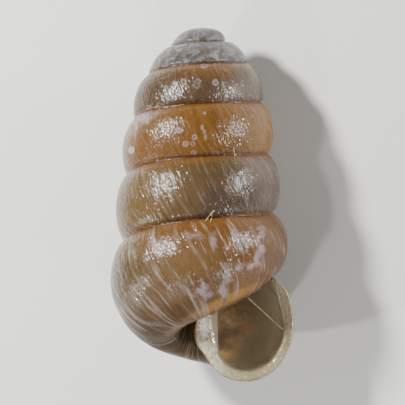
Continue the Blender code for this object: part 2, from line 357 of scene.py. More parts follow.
def pulledIn(ring, depths):
    # a ring drawn in toward its middle by the wall's thickness, a little more at its corners
    middle = sum(ring, Vector((0.0, 0.0))) / len(ring)
    drawn = []
    for i, point in enumerate(ring):
        toMiddle = middle - point
        reach = toMiddle.normalized()
        most = 0.0
        for other in (ring[i - 1], ring[(i + 1) % len(ring)]):
            edge = (other - point).normalized()
            most = max(most, depths[i] / max(abs(edge.x * reach.y - edge.y * reach.x), 0.25))
        drawn.append(point + reach * min(most, mouth["cornerReach"] * depths[i], 0.4 * toMiddle.length))
    return drawn


def hollowRing(turn):
    # the hollow at a turn: its own whorl's skin round the outside, the whorl above over it
    own = whorlOutline(turn, growth["hollowKeys"])
    shrink = bandRadius(turn + 1) / bandRadius(1)
    roof = whorlOutline(turn + 1, growth["hollowKeys"])[:5]
    roof += [seamPoint(turn + 1) + Vector(p) * shrink for p in growth["skinKeys"][0]] + [own[-1]]
    ring = [curveAt(own if lip else roof, share) for share, lip in ringShares()]
    depths = [mouth["wall"] if lip else mouth["callus"] for _, lip in ringShares()]
    return [windUp(p, turn) for p in pulledIn(ring, depths)]


def underBase(x, y):
    # depth of the last whorl's base over a point of the lip, which has to hang clear of it
    turn = 1 + math.atan2(y, x) / (2 * math.pi)
    reach = math.hypot(x, y)
    points = skinOutline(turn)
    spots = [curveAt(points, share) for share in baseShares[::3]] + pitCurve
    for outer, inner in zip(spots, spots[1:]):
        if inner.x <= reach <= outer.x:
            return outer.y + (inner.y - outer.y) * (outer.x - reach) / (outer.x - inner.x)
    return 0.0


def lipLoop(position):
    # one loop of the lip; position runs from 0 at its seat to the number of keyed loops
    rings = ringShares()
    keys = [Vector(p) for p in mouth["loops"]]
    share, inward, forward = curveAt(keys, position / (len(keys) - 1))
    spreads = [Vector(pair) for pair in zip(mouth["flare"], mouth["inner"])]
    seat = [lipSeat(s) if lip else lastWhorlPoint(s, startTurn(s)) for s, lip in rings]
    flat = [Vector((p.x, -p.z)) for p in seat]
    loop = []
    for i, (s, lip) in enumerate(rings):
        if position == 0:
            loop.append(seat[i])
        elif not lip or i == 0:
            inner = max(s, bandEnd + mouth["cornerShare"] * position)
            loop.append(windUp(*hangBack(inner, mouth["plane"] + mouth["callusStep"] * position)))
        else:
            ahead = flat[i + 1] - flat[i - 1]
            out = Vector((ahead.y, -ahead.x)).normalized()
            reach = curveAt(spreads, s)
            moved = flat[i] + out * (reach.x * share - reach.y * inward)
            front = mouth["plane"] - forward
            loop.append(Vector((moved.x, front, -max(moved.y, underBase(moved.x, front) + mouth["gap"]))))
    return loop


def hangBack(share, y):
    # a place of the last whorl's skin at a depth behind the mouth
    turn = turnAtDepth(share, y)
    return curveAt(skinOutline(min(turn, 0.99999)), share), turn


def throatStations():
    stations = [lipLoop(i) for i in range(len(mouth["loops"]))]
    count = round(mouth["hollowEndTurn"] * mouth["hollowStations"])
    stations += [hollowRing(i / mouth["hollowStations"]) for i in range(count)]
    # rings between the stations: close together on the lip and behind it, then one for each station
    steps = [5] * lipEnd + [10] + [6] * 6 + [1] * (count - 7)
    return stations, steps


def buildShell():
    bm = bmesh.new()
    spiral = bm.loops.layers.uv.new("spiral")
    placed = {}
    bands = gridOf(bm, totalColumns, skinLook["bandRows"])
    for column, rows in enumerate(bands):
        for row, vert in enumerate(rows):
            share = bandShares[row]
            vert.co, turn = bandPoint(column, share)
            placed[vert] = (turn, acrossOf(share))
    baseRows = skinLook["baseRows"] + skinLook["pitRows"]
    base = gridOf(bm, columnsPerTurn, baseRows)
    for column, rows in enumerate(base):
        for row, vert in enumerate(rows):
            vert.co, turn, across = basePoint(column, row)
            placed[vert] = (turn, across)
    skinFaces = len(bm.faces)
    stations, steps = throatStations()
    rings = []
    for i, count in enumerate(steps):
        last = stations[min(i + 2, len(stations) - 1)]
        nearby = list(zip(stations[max(i - 1, 0)], stations[i], stations[i + 1], last))
        for step in range(count):
            f = step / count
            rings.append((i + f, [curveAt(four, (1 + f) / 3) if step else four[1] for four in nearby]))
    rings.append((len(steps), stations[len(steps)]))
    ringCount = len(rings[0][1])
    throat = gridOf(bm, len(rings) - 1, ringCount)
    for column, rows in enumerate(throat):
        for row, vert in enumerate(rows):
            vert.co = rings[column][1][row % ringCount]
            placed[vert] = (rings[column][0], row / ringCount)
    bm.faces.ensure_lookup_table()
    for i, face in enumerate(bm.faces):
        face.smooth = True
        if i >= skinFaces:
            face.material_index = 1 if sum(placed[v][0] for v in face.verts) / 4 < lipEnd else 2
        for loop in face.loops:
            loop[spiral].uv = placed[loop.vert]
    bmesh.ops.contextual_create(bm, geom=throat[-1][:-1])
    bmesh.ops.remove_doubles(bm, verts=bm.verts, dist=2e-5)
    bmesh.ops.dissolve_degenerate(bm, dist=1e-6, edges=bm.edges)
    bmesh.ops.recalc_face_normals(bm, faces=bm.faces)
    bmesh.ops.transform(bm, matrix=Matrix.Scale(mm, 4), verts=bm.verts)
    mesh = bpy.data.meshes.new("shell_skin")
    bm.to_mesh(mesh)
    bm.free()
    return mesh


def restPose(mesh):
    # laid on its back on the floor, its box centred over the origin
    laid = Matrix.Rotation(math.radians(-pose["layDeg"]), 4, "X")
    laid = laid @ Matrix.Rotation(math.radians(pose["rollDeg"]), 4, "Z")
    points = [laid @ v.co for v in mesh.vertices]
    low = [min(p[i] for p in points) for i in range(3)]
    high = [max(p[i] for p in points) for i in range(3)]
    corner = Vector(((low[0] + high[0]) / 2, (low[1] + high[1]) / 2, low[2] + pose["footReach"] / 2 * mm))
    return Matrix.Translation(-corner) @ laid


shellMesh = buildShell()
toFloor = restPose(shellMesh)
shellMesh.transform(toFloor)
for point in shellMesh.vertices:
    point.co.z = max(point.co.z, 0.0)  # levelled where it lies, as the solid is
shell = bpy.data.objects.new("shell_skin", shellMesh)
bpy.context.scene.collection.objects.link(shell)
print("shell built:", len(shellMesh.vertices), "points")


# Photograph's view: nearly square on to the mouth, a little from below the base.
view = {"below": 5.5, "axisPixel": 199.4, "tipPixel": 28.0, "pixel": 0.01, "distance": 60.0, "frame": 405}


def viewTurn():
    e = math.radians(view["below"])
    back = Vector((0.0, -math.cos(e), -math.sin(e)))
    right = Vector((1.0, 0.0, 0.0))
    return toFloor.to_3x3() @ Matrix((right, back.cross(right), back)).transposed()


right, up, back = viewTurn().col
tipHeight = max(up.dot(v.co) for v in shellMesh.vertices)
axisPlace = toFloor @ Vector((0.0, 0.0, 0.0))


def framePoint(x, y):
    # a point of the photograph's frame, on the plane of the shell's axis
    across = right.dot(axisPlace) + (x - view["axisPixel"]) * view["pixel"] * mm
    height = tipHeight - (y - view["tipPixel"]) * view["pixel"] * mm
    return right * across + up * height + back * back.dot(axisPlace)


def addCamera():
    data = bpy.data.cameras.new("camera")
    data.lens = data.sensor_width * view["distance"] / (view["frame"] * view["pixel"])
    data.clip_start = 0.001
    data.clip_end = 10.0
    camera = bpy.data.objects.new("camera", data)
    spot = framePoint(view["frame"] / 2, view["frame"] / 2) + back * view["distance"] * mm
    camera.matrix_world = Matrix.Translation(spot) @ viewTurn().to_4x4()
    bpy.context.scene.collection.objects.link(camera)
    bpy.context.scene.camera = camera


addCamera()


def tone(red, green, blue, share=1.0):
    # screen values to the renderer's own
    return tuple(share * ((c / 255 + 0.055) / 1.055) ** 2.4 for c in (red, green, blue)) + (1.0,)


def put(tree, kind, inputs=None, **settings):
    node = tree.nodes.new(kind)
    for name, value in settings.items():
        setattr(node, name, value)
    for key, value in (inputs or {}).items():
        if isinstance(value, bpy.types.NodeSocket):
            tree.links.new(value, node.inputs[key])
        else:
            node.inputs[key].default_value = value
    return node


def sums(tree, operation, a, b=0.0, c=0.0, clamp=False):
    return put(tree, "ShaderNodeMath", {0: a, 1: b, 2: c}, operation=operation, use_clamp=clamp).outputs[0]


def product(tree, *factors):
    whole = factors[0]
    for factor in factors[1:]:
        whole = sums(tree, "MULTIPLY", whole, factor)
    return whole


def between(tree, value, low, high, first=0.0, last=1.0):
    inputs = {"Value": value, "From Min": low, "From Max": high, "To Min": first, "To Max": last}
    return put(tree, "ShaderNodeMapRange", inputs, interpolation_type="SMOOTHSTEP").outputs[0]


def window(tree, value, low, high, soft):
    # 1 from low to high, fading out over the soft width on each side
    return product(tree, between(tree, value, low - soft, low), between(tree, value, high + soft, high))


def blend(tree, share, a, b, mode="MIX"):
    inputs = {0: share, 6: a, 7: b}
    return put(tree, "ShaderNodeMix", inputs, data_type="RGBA", blend_type=mode).outputs[2]


def ramp(tree, value, stops):
    node = put(tree, "ShaderNodeValToRGB", {0: value})
    marks = node.color_ramp.elements
    while len(marks) < len(stops):
        marks.new(1.0)
    for mark, (place, colour) in zip(marks, stops):
        mark.position = place
        mark.color = colour
    return node.outputs[0]


def speckle(tree, vector, scale, detail=2.0, rough=0.5, warp=0.0):
    inputs = {"Vector": vector, "Scale": scale, "Detail": detail, "Roughness": rough, "Distortion": warp}
    return put(tree, "ShaderNodeTexNoise", inputs).outputs[0]


def joined(tree, x, y, z=0.0):
    return put(tree, "ShaderNodeCombineXYZ", {0: x, 1: y, 2: z}).outputs[0]


def dotWith(tree, vector, way):
    inputs = {0: vector, 1: way}
    return put(tree, "ShaderNodeVectorMath", inputs, operation="DOT_PRODUCT").outputs["Value"]


def scaled(tree, vector, factor):
    return put(tree, "ShaderNodeVectorMath", {0: vector, "Scale": factor}, operation="SCALE").outputs[0]


def bumped(tree, height, strength, depth, normal=None):
    inputs = {"Strength": strength, "Distance": depth, "Height": height}
    if normal is not None:
        inputs["Normal"] = normal
    return put(tree, "ShaderNodeBump", inputs).outputs[0]


def glints(tree, spot, tilt):
    # tiny facets of the skin, each leaning its own way
    cells = put(tree, "ShaderNodeTexVoronoi", {"Vector": spot, "Scale": 1.0}).outputs["Color"]
    middle = {0: cells, 1: (0.5, 0.5, 0.5)}
    lean = put(tree, "ShaderNodeVectorMath", middle, operation="SUBTRACT").outputs[0]
    normal = put(tree, "ShaderNodeNewGeometry").outputs["Normal"]
    leaning = {0: normal, 1: scaled(tree, lean, tilt)}
    return put(tree, "ShaderNodeVectorMath", leaning, operation="ADD").outputs[0]


def freshMaterial(name):
    # the map's two numbers are turn and place across a whorl, or station and place round the mouth
    material = bpy.data.materials.new(name)
    material.use_nodes = True
    tree = material.node_tree
    surface = tree.nodes["Principled BSDF"]
    uv = put(tree, "ShaderNodeUVMap", uv_map="spiral").outputs[0]
    parts = put(tree, "ShaderNodeSeparateXYZ", {0: uv}).outputs
    place = put(tree, "ShaderNodeTexCoord").outputs["Object"]
    return material, tree, surface, parts[0], parts[1], place


def setEvenly(surface, values):
    # what is the same all over a surface
    for name, value in values.items():
        surface.inputs[name].default_value = value


skinTones = {
    "dome": (84, 78, 70), "domePale": (112, 108, 106), "rust": (116, 78, 36), "umber": (86, 68, 48),
    "amber": (124, 84, 34), "honey": (162, 120, 68), "fawn": (128, 98, 64), "olive": (88, 70, 38),
    "slate": (86, 70, 56), "clay": (116, 102, 90), "tan": (118, 92, 56), "ochre": (120, 78, 28),
    "russet": (102, 66, 36), "sand": (104, 84, 56), "bark": (60, 44, 26),
    # which tone lies where, by turns counted back from the mouth; the darker stops at turn 0.48 (umber above,
    # bark below) and tan at 1.5 are painted shade on the whorls' left edges
    "high": (
        (0.0, "sand"), (0.48, "umber"), (0.60, "tan"), (0.75, "ochre"), (0.88, "ochre"), (1.0, "russet"),
        (1.5, "tan"), (1.64, "tan"), (1.78, "olive"), (1.88, "clay"), (2.0, "clay"),
        (2.5, "honey"), (2.60, "fawn"), (2.70, "amber"), (2.82, "amber"), (3.0, "honey"),
        (3.5, "umber"), (3.75, "rust"), (4.0, "fawn"), (4.3, "clay"),
        (4.6, "dome"), (5.2, "domePale"), (6.7, "dome"),
    ),
    "low": (
        (0.0, "sand"), (0.48, "bark"), (0.60, "sand"), (0.74, "fawn"),
        (0.84, "ochre"), (0.92, "russet"), (1.0, "russet"),
        (1.5, "sand"), (1.64, "tan"), (1.78, "slate"), (1.88, "slate"), (2.0, "clay"),
        (2.5, "fawn"), (2.66, "amber"), (2.82, "amber"), (3.0, "honey"),
        (3.5, "umber"), (3.75, "umber"), (4.0, "clay"), (4.3, "clay"),
        (4.6, "dome"), (5.2, "domePale"), (6.7, "dome"),
    ),
    "base": (
        (0.0, "sand"), (0.12, "umber"), (0.4, "umber"), (0.6, "umber"),
        (0.78, "fawn"), (1.0, "fawn"), (6.7, "bark"),
    ),
    "streak": (182, 164, 152), "fold": (138, 118, 90), "grime": (96, 68, 40),
    "flake": (184, 168, 172), "chalk": (160, 160, 164),
    # the glow tone is painted light: a warm lighter colour laid on the shaded pit by the lip and along the
    # thin edge over the mouth
    "seam": (84, 46, 22), "paintedGlow": (196, 150, 96), "underSeam": (134, 88, 36), "moss": (112, 98, 40),
    "share": 0.58,
}

# Grains of the skin in counts a metre, or a turn and a whorl's height; ovals are places of the photograph's
# frame with width and height in pixels and tilt in degrees; pairs of gloss run from the whorls to the base.
skinGloss = {
    "cloud": 2600.0, "fine": 30000.0, "grain": 50000.0, "dents": 11000.0, "worn": 16000.0,
    "ragged": (34.0, 5.0), "wrinkle": (190.0, 12.0), "ridges": (150.0, 1.6), "facets": (215.0, 25.0),
    "facetTilt": 0.38, "bumpDepth": 0.000008, "softBump": 0.5, "crispBump": 0.6,
    # the overMouth oval is where that painted glow lies along the thin edge over the mouth
    "overMouth": (226.0, 299.0, 88.0, 11.0, 25.0), "lowGleam": (139.0, 296.0, 46.0, 26.0, -35.0),
    "roughness": (0.16, 0.16), "markedRoughness": 0.2,
    "coat": (0.46, 0.07), "lowGleamCoat": 0.75, "specular": (0.16, 0.04),
    "even": {
        "Coat Roughness": 0.07, "Coat IOR": 1.45, "IOR": 1.5, "Subsurface Weight": 0.2,
        "Subsurface Radius": (1.0, 0.6, 0.3), "Subsurface Scale": 0.00006,
    },
}

# Pale marks left by drops and grit: frame place, width and height in pixels, how hollow, strength.
marks = (
    (179.3, 131.2, 8.0, 6.4, 0.35, 0.65), (194.4, 138.0, 6.0, 6.0, 0.75, 0.6),
    (185.7, 144.7, 6.5, 6.0, 0.6, 0.65), (192.9, 144.4, 5.5, 5.0, 0.8, 0.4),
    (202.0, 128.6, 3.2, 6.0, 0.0, 0.5), (204.2, 132.6, 3.0, 5.0, 0.0, 0.4),
    (205.4, 138.0, 3.4, 6.0, 0.0, 0.4), (131.9, 150.4, 7.4, 7.4, 0.0, 0.9),
    (193.8, 153.3, 6.0, 5.0, 0.75, 0.3), (204.6, 114.4, 4.4, 3.6, 0.0, 0.4),
    (204.0, 67.2, 8.4, 5.0, 0.6, 0.5), (215.4, 83.8, 7.0, 6.4, 0.6, 0.65),
    (198.2, 82.5, 6.5, 5.5, 0.75, 0.4), (196.3, 87.0, 8.0, 6.0, 0.8, 0.3),
    (235.8, 65.3, 8.0, 4.4, 0.0, 0.5), (170.8, 190.3, 4.4, 4.4, 0.0, 0.55),
    (261.0, 234.0, 7.0, 6.0, 0.6, 0.6),
)

# Worn lilac patches, ragged at the edge, three of them partly painted highlight: frame place, width and
# height in pixels, tilt, strength.
patches = (
    (252.0, 265.0, 14.0, 7.0, 35.0, 0.8), (256.0, 256.0, 7.0, 15.0, -20.0, 0.7),
    (262.0, 247.0, 7.0, 10.0, -10.0, 0.7), (225.0, 274.0, 18.0, 16.0, 30.0, 0.75),
    (238.0, 267.0, 11.0, 8.0, 30.0, 0.6), (221.0, 290.0, 13.0, 12.0, 10.0, 0.8),
    (208.0, 293.0, 13.0, 8.0, 20.0, 0.65), (203.0, 287.0, 16.0, 17.0, 20.0, 0.95),
    (234.0, 232.0, 9.0, 12.0, 30.0, 0.7), (243.0, 237.0, 10.0, 7.0, 20.0, 0.55),
    (261.0, 228.0, 9.0, 5.0, 0.0, 0.4), (237.0, 182.0, 7.0, 10.0, 10.0, 0.85),
    (245.0, 168.0, 4.0, 8.0, 0.0, 0.4), (200.0, 232.0, 9.0, 16.0, 12.0, 0.35),
    # the two patches on the next line, on the left shoulder, are white flaking and partly a painted highlight
    # band
    (145.0, 118.0, 34.0, 12.0, 32.0, 0.75), (133.0, 133.0, 8.0, 14.0, 0.0, 0.4),
    (228.0, 247.0, 11.0, 9.0, 20.0, 0.5), (245.0, 251.0, 9.0, 9.0, 10.0, 0.6),
    (214.0, 238.0, 9.0, 14.0, 20.0, 0.4), (188.0, 237.0, 7.0, 14.0, 12.0, 0.35),
    (150.0, 322.0, 44.0, 5.0, -14.0, 0.3), (214.0, 56.0, 13.0, 7.0, 0.0, 0.5),
    # the patch on the next line, on the second whorl's right, is partly a painted highlight
    (232.0, 52.0, 10.0, 12.0, 0.0, 0.6),
)


def markReach(tree, place, x, y, wide, tall, tilt=0.0):
    # 0 at the middle of an oval of the photograph's frame, 1 at its edge
    turned = Matrix.Rotation(math.radians(tilt), 3, back)
    middle = framePoint(x, y)
    squares = []
    for way, size in ((right, wide), (up, tall)):
        row = turned @ way / (size / 2 * view["pixel"] * mm)
        off = sums(tree, "SUBTRACT", dotWith(tree, place, row), row.dot(middle))
        squares.append(product(tree, off, off))
    return sums(tree, "SQRT", sums(tree, "ADD", *squares))


def markShare(tree, place, ragged, fine):
    # how much of a pale mark or worn patch lies on each point of the skin
    whole = None
    for x, y, wide, tall, hollow, strength in marks:
        reach = markReach(tree, place, x, y, wide, tall)
        reach = sums(tree, "MULTIPLY_ADD", sums(tree, "SUBTRACT", fine, 0.5), 1.1, reach)
        spot = between(tree, reach, 1.15, 0.75, 0.0, strength)
        if hollow:
            spot = product(tree, spot, between(tree, reach, 0.8, 0.3, 1.0, 1.0 - hollow))
        whole = spot if whole is None else sums(tree, "MAXIMUM", whole, spot)
    for x, y, wide, tall, tilt, strength in patches:
        reach = markReach(tree, place, x, y, wide, tall, tilt)
        reach = sums(tree, "MULTIPLY_ADD", sums(tree, "SUBTRACT", ragged, 0.56), -5.0, reach)
        whole = sums(tree, "MAXIMUM", whole, between(tree, reach, 1.5, 0.3, 0.0, strength))
    # only on the side that the photograph shows
    facing = dotWith(tree, place, back / mm)
    front = back.dot(axisPlace) / mm
    whole = product(tree, whole, between(tree, fine, 0.3, 0.55, 0.6, 1.0))
    return product(tree, whole, between(tree, facing, front, front + 0.1))


def skinMaterial():
    material, tree, surface, turn, across, place = freshMaterial("shell_skin")
    share = skinTones["share"]

    def shade(name):
        return tone(*skinTones[name], share)

    bent = sums(tree, "POWER", sums(tree, "MAXIMUM", across, 0.0), 1.3)
    line = sums(tree, "SUBTRACT", turn, product(tree, bent, skinLook["streakLean"]))

    def lined(sizes, seed, detail=2.0, rough=0.5):
        # noise drawn out along the lip's own line
        spot = joined(tree, product(tree, line, sizes[0]), product(tree, across, sizes[1]), seed)
        return speckle(tree, spot, 1.0, detail, rough)

    def drifted(value, amount):
        return sums(tree, "MULTIPLY_ADD", sums(tree, "SUBTRACT", cloud, 0.5), amount, value)

    def ofTurns(zone):
        return ramp(tree, along, [(at / growth["apexTurn"], shade(name)) for at, name in skinTones[zone]])

    cloud = speckle(tree, place, skinGloss["cloud"], 3.0, 0.6)
    fine = speckle(tree, place, skinGloss["fine"], 3.0, 0.6)
    along = sums(tree, "DIVIDE", drifted(turn, 0.18), growth["apexTurn"], clamp=True)
    heightDrift = drifted(across, 0.5)
    colour = blend(tree, between(tree, heightDrift, 0.15, 0.6), ofTurns("high"), ofTurns("low"))
    colour = blend(tree, between(tree, heightDrift, 0.9, 1.4), colour, ofTurns("base"))
    # painted light: the shaded pit by the lip and the thin edge over the mouth are lit up with the glow tone
    paintedPitLight = product(tree, between(tree, across, 1.35, 1.8), between(tree, turn, 0.5, 0.75))
    overMouth = between(tree, markReach(tree, place, *skinGloss["overMouth"]), 1.2, 0.4, 0.0, 0.7)
    colour = blend(tree, sums(tree, "MAXIMUM", paintedPitLight, overMouth), colour, shade("paintedGlow"))
    lowEdge = product(tree, window(tree, across, 0.975, 1.02, 0.03), between(tree, turn, 0.96, 1.0))
    lowEdge = product(tree, lowEdge, between(tree, turn, 5.0, 4.2), 0.7)
    colour = blend(tree, lowEdge, colour, shade("underSeam"))
    colour = blend(tree, between(tree, fine, 0.35, 0.75, 0.0, 0.35), colour, shade("grime"))

    # growth streaks along the lip's own line: pale ones, wide folds on the base, and fine dark ones
    def streaks(perTurn, acrossScale, seed, low, high, detail=2.0):
        return between(tree, lined((perTurn, acrossScale), seed, detail, 0.6), low, high)

    onBody = window(tree, turn, 0.3, 0.93, 0.12)
    onMiddle = window(tree, turn, 1.4, 2.1, 0.15)
    weight = sums(tree, "MULTIPLY_ADD", onBody, 0.6, 0.08)
    weight = sums(tree, "ADD", weight, product(tree, onMiddle, 0.14))
    pale = product(tree, streaks(95.0, 1.2, 0.0, 0.52, 0.66), streaks(17.0, 2.4, 4.0, 0.36, 0.56, 1.0))
    colour = blend(tree, product(tree, pale, weight), colour, shade("streak"))
    hair = product(tree, streaks(200.0, 1.4, 12.0, 0.60, 0.72), streaks(20.0, 2.0, 14.0, 0.42, 0.6), 0.4)
    colour = blend(tree, hair, colour, shade("streak"))
    folds = product(tree, streaks(30.0, 0.8, 6.0, 0.56, 0.70), window(tree, across, 1.0, 1.8, 0.15), 0.6)
    colour = blend(tree, folds, colour, shade("fold"))
    dark = product(tree, streaks(120.0, 1.3, 9.0, 0.5, 0.78), 0.4)
    colour = blend(tree, dark, colour, tone(*skinTones["grime"]), "MULTIPLY")

    # worn patches, three of them partly painted highlight, drop marks and the chalky tip
    marked = markShare(tree, place, lined(skinGloss["ragged"], 2.0, 3.0, 0.65), fine)
    colour = blend(tree, marked, colour, shade("flake"))
    chalky = between(tree, speckle(tree, place, skinGloss["worn"], 3.0, 0.65), 0.44, 0.66)
    colour = blend(tree, product(tree, chalky, between(tree, turn, 4.2, 4.6), 0.55), colour, shade("chalk"))

    # the seam: a dark uneven line, with an orange band under it, and a little green by the tip
    uneven = sums(tree, "MULTIPLY_ADD", sums(tree, "SUBTRACT", fine, 0.5), 0.05, across)
    under = product(tree, window(tree, across, 0.04, 0.12, 0.05), window(tree, turn, 0.7, 4.2, 0.2), cloud)
    colour = blend(tree, product(tree, under, 0.9), colour, shade("underSeam"))
    green = product(tree, between(tree, across, 0.22, 0.02), window(tree, turn, 4.5, 4.95, 0.1), cloud)
    colour = blend(tree, product(tree, green, 1.4), colour, shade("moss"))
    nearUpper = between(tree, uneven, 0.045, 0.01)
    nearLower = product(tree, window(tree, uneven, 0.99, 1.005, 0.02), between(tree, turn, 0.97, 1.0))
    seam = sums(tree, "MAXIMUM", nearUpper, nearLower)
    seam = product(tree, seam, between(tree, turn, 5.4, 4.4, 0.3, 0.85))
    tree.links.new(blend(tree, seam, colour, shade("seam")), surface.inputs["Base Color"])

    # fine ridges and a wrinkled grain break the gloss into sparks
    grain = speckle(tree, place, skinGloss["grain"], 1.0, 0.6)
    wrinkle = lined(skinGloss["wrinkle"], 5.0, 1.0)
    ridges = lined(skinGloss["ridges"], 3.0, 0.0)
    dents = speckle(tree, place, skinGloss["dents"], 0.0)
    height = sums(tree, "MULTIPLY_ADD", dents, 1.2, product(tree, ridges, 1.1))
    height = sums(tree, "ADD", height, sums(tree, "MULTIPLY_ADD", grain, 1.1, product(tree, wrinkle, 1.2)))
    depth = skinGloss["bumpDepth"]
    tree.links.new(bumped(tree, height, skinGloss["softBump"], depth), surface.inputs["Normal"])
    rough = sums(tree, "MULTIPLY_ADD", fine, *skinGloss["roughness"])
    rough = sums(tree, "ADD", rough, product(tree, marked, skinGloss["markedRoughness"]))
    tree.links.new(rough, surface.inputs["Roughness"])
    perTurn, perHeight = skinGloss["facets"]
    facets = joined(tree, product(tree, line, perTurn), product(tree, across, perHeight))
    tilted = glints(tree, facets, skinGloss["facetTilt"])
    tree.links.new(bumped(tree, height, skinGloss["crispBump"], depth, tilted), surface.inputs["Coat Normal"])
    gleam = markReach(tree, place, *skinGloss["lowGleam"])
    gleam = between(tree, gleam, 1.2, 0.4, 0.0, skinGloss["lowGleamCoat"])
    coat = sums(tree, "MAXIMUM", between(tree, across, 1.0, 1.3, *skinGloss["coat"]), gleam)
    tree.links.new(coat, surface.inputs["Coat Weight"])
    specular = between(tree, across, 0.95, 1.15, *skinGloss["specular"])
    tree.links.new(specular, surface.inputs["Specular IOR Level"])
    setEvenly(surface, skinGloss["even"])
    return material


lipTones = {
    "stain": (150, 130, 84), "cream": (168, 150, 108), "pale": (188, 174, 138), "fleck": (208, 200, 180),
    "dusk": (132, 118, 82), "edge": (146, 112, 62), "fold": (164, 150, 116), "white": (214, 210, 200),
    "share": 0.58,
    "mottled": ((0.14, "stain"), (0.34, "cream"), (0.56, "pale")),
    "mottle": 8000.0, "flecks": 26000.0, "grain": 32000.0, "facets": 48000.0, "facetTilt": 0.6,
    # the sheen oval is a painted highlight on the columellar lip: frame place, width and height in pixels,
    # tilt
    "bumpDepth": 0.000014, "paintedHighlight": (203.0, 324.0, 13.0, 24.0, 12.0),
    # gloss from the outer edge to the rim's face
    "coat": (0.05, 1.0), "specular": (0.04, 0.4),
    "even": {
        "Coat Roughness": 0.07, "Subsurface Weight": 0.25,
        "Subsurface Radius": (1.0, 0.7, 0.4), "Subsurface Scale": 0.00006,
    },
}


def lipMaterial():
    material, tree, surface, loop, around, place = freshMaterial("shell_lip")
    share = lipTones["share"]

    def shade(name):
        return tone(*lipTones[name], share)

    mottle = speckle(tree, place, lipTones["mottle"], 4.0, 0.65)
    flecks = speckle(tree, place, lipTones["flecks"], 3.0, 0.7)
    colour = ramp(tree, mottle, [(at, shade(name)) for at, name in lipTones["mottled"]])
    # lighter by the columella: partly the lip's paler cream, partly painted highlight
    columella = window(tree, around, 0.47, 0.62, 0.06)
    colour = blend(tree, product(tree, columella, 0.8), colour, shade("pale"))
    colour = blend(tree, between(tree, flecks, 0.46, 0.64, 0.0, 0.55), colour, shade("fleck"))
    colour = blend(tree, between(tree, flecks, 0.44, 0.3, 0.0, 0.3), colour, shade("stain"))
    # dusky on the outer side, palest on the wide side by the columella (its paler cream with painted
    # highlight laid over it), warm along both edges
    colour = blend(tree, between(tree, around, 0.42, 0.2, 0.0, 0.35), colour, shade("dusk"))
    white = tone(*lipTones["white"])
    # painted highlight: whiter flecks over the columella side
    whitened = product(tree, columella, between(tree, flecks, 0.3, 0.6), 0.35)
    colour = blend(tree, whitened, colour, white)
    # painted highlight: white laid in an oval on the columellar lip
    paintedHighlight = between(tree, markReach(tree, place, *lipTones["paintedHighlight"]), 1.2, 0.3)
    colour = blend(tree, product(tree, paintedHighlight, between(tree, flecks, 0.3, 0.55)), colour, white)
    colour = blend(tree, between(tree, loop, 5.0, 5.8, 0.0, 0.6), colour, shade("fold"))
    edge = product(tree, window(tree, loop, 2.2, 3.5, 0.4), 0.85)
    tree.links.new(blend(tree, edge, colour, shade("edge")), surface.inputs["Base Color"])
    grain = speckle(tree, place, lipTones["grain"], 1.0, 0.6)
    tree.links.new(between(tree, grain, 0.3, 0.7, 0.2, 0.32), surface.inputs["Roughness"])
    tree.links.new(bumped(tree, grain, 1.0, lipTones["bumpDepth"]), surface.inputs["Normal"])
    facets = scaled(tree, place, lipTones["facets"])
    tree.links.new(glints(tree, facets, lipTones["facetTilt"]), surface.inputs["Coat Normal"])
    tree.links.new(between(tree, loop, 3.2, 4.2, *lipTones["coat"]), surface.inputs["Coat Weight"])
    tree.links.new(between(tree, loop, 3.2, 4.2, *lipTones["specular"]), surface.inputs["Specular IOR Level"])
    setEvenly(surface, lipTones["even"])
    return material


throatTones = {
    "deep": (130, 110, 82), "mid": (182, 156, 122), "pale": (230, 194, 154),
    # the ember tone is a painted orange glow in the throat, laid in the glow oval
    "paintedEmber": (240, 168, 104), "rim": (158, 148, 124),
    "clouded": ((0.36, "deep"), (0.5, "mid"), (0.64, "pale")),
    "cloud": 4200.0, "ripple": 14000.0, "bumpDepth": 0.00001,
    # the glow oval places that painted orange glow in the throat
    "rimStations": (8.5, 11.0), "paintedGlow": (246.0, 327.0, 20.0, 10.0, 15.0),
    # daylight comes through the thin wall
    "even": {
        "Roughness": 0.3, "Subsurface Weight": 1.0,
        "Subsurface Radius": (1.0, 0.95, 0.88), "Subsurface Scale": 0.00022,
    },
}


def throatMaterial():
    material, tree, surface, station, around, place = freshMaterial("shell_throat")
    cloud = speckle(tree, place, throatTones["cloud"], 4.0, 0.65)
    colour = ramp(tree, cloud, [(at, tone(*throatTones[name])) for at, name in throatTones["clouded"]])
    # painted light: an orange glow laid on the throat in an oval, where its clouds are pale
    paintedGlow = between(tree, markReach(tree, place, *throatTones["paintedGlow"]), 1.3, 0.2)
    paintedGlow = product(tree, paintedGlow, between(tree, cloud, 0.35, 0.6))
    colour = blend(tree, paintedGlow, colour, tone(*throatTones["paintedEmber"]))
    rim = between(tree, station, *throatTones["rimStations"], 1.0, 0.0)
    colour = blend(tree, rim, colour, tone(*throatTones["rim"], lipTones["share"]))
    tree.links.new(colour, surface.inputs["Base Color"])
    ripple = speckle(tree, place, throatTones["ripple"], 3.0, 0.6)
    tree.links.new(bumped(tree, ripple, 1.0, throatTones["bumpDepth"]), surface.inputs["Normal"])
    setEvenly(surface, throatTones["even"])
    return material


for material in (skinMaterial(), lipMaterial(), throatMaterial()):
    shellMesh.materials.append(material)
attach(shell, "root")
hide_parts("shell")
print("materials done")


